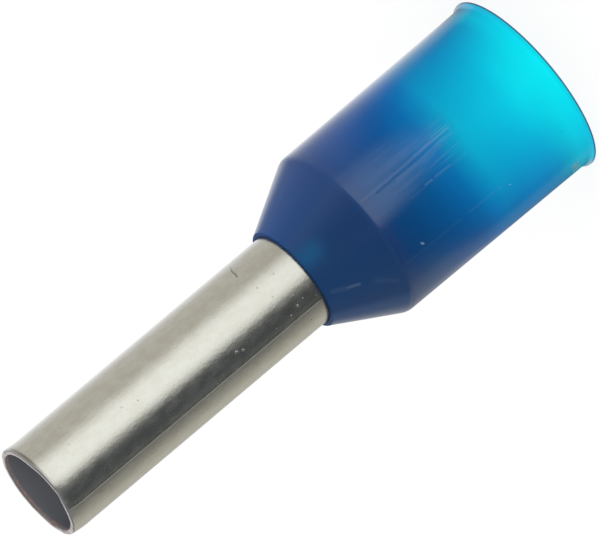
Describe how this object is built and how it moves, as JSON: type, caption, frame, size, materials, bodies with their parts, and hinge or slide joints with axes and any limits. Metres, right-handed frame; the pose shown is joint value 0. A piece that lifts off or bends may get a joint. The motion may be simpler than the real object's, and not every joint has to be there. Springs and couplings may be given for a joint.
{
  "type": "wire ferrule",
  "caption": "Insulated wire ferrule: a thin tinned copper crimp tube whose flared end is seated in a translucent blue plastic collar with a cone and a wide wire entry.",
  "frame": {"origin": "centre of the collar's rim, on the surface that the ferrule stands on", "axes": "+Z along the ferrule's axis, from the wire entry towards the tip of the tube; it looks the same all round the axis"},
  "size_m": [0.0048, 0.0048, 0.0154],
  "materials": {
    "tinned_copper": "satin tin plating with a fine grain along the tube, and bare copper at the sheared edges",
    "blue_plastic": "translucent blue polypropylene, smooth with fine drag lines, deep navy at the cone and cyan where light comes through at the rim"
  },
  "bodies": {
    "root": {"crimp_tube": "tinned_copper", "insulating_collar": "blue_plastic"}
  },
  "joints": []
}
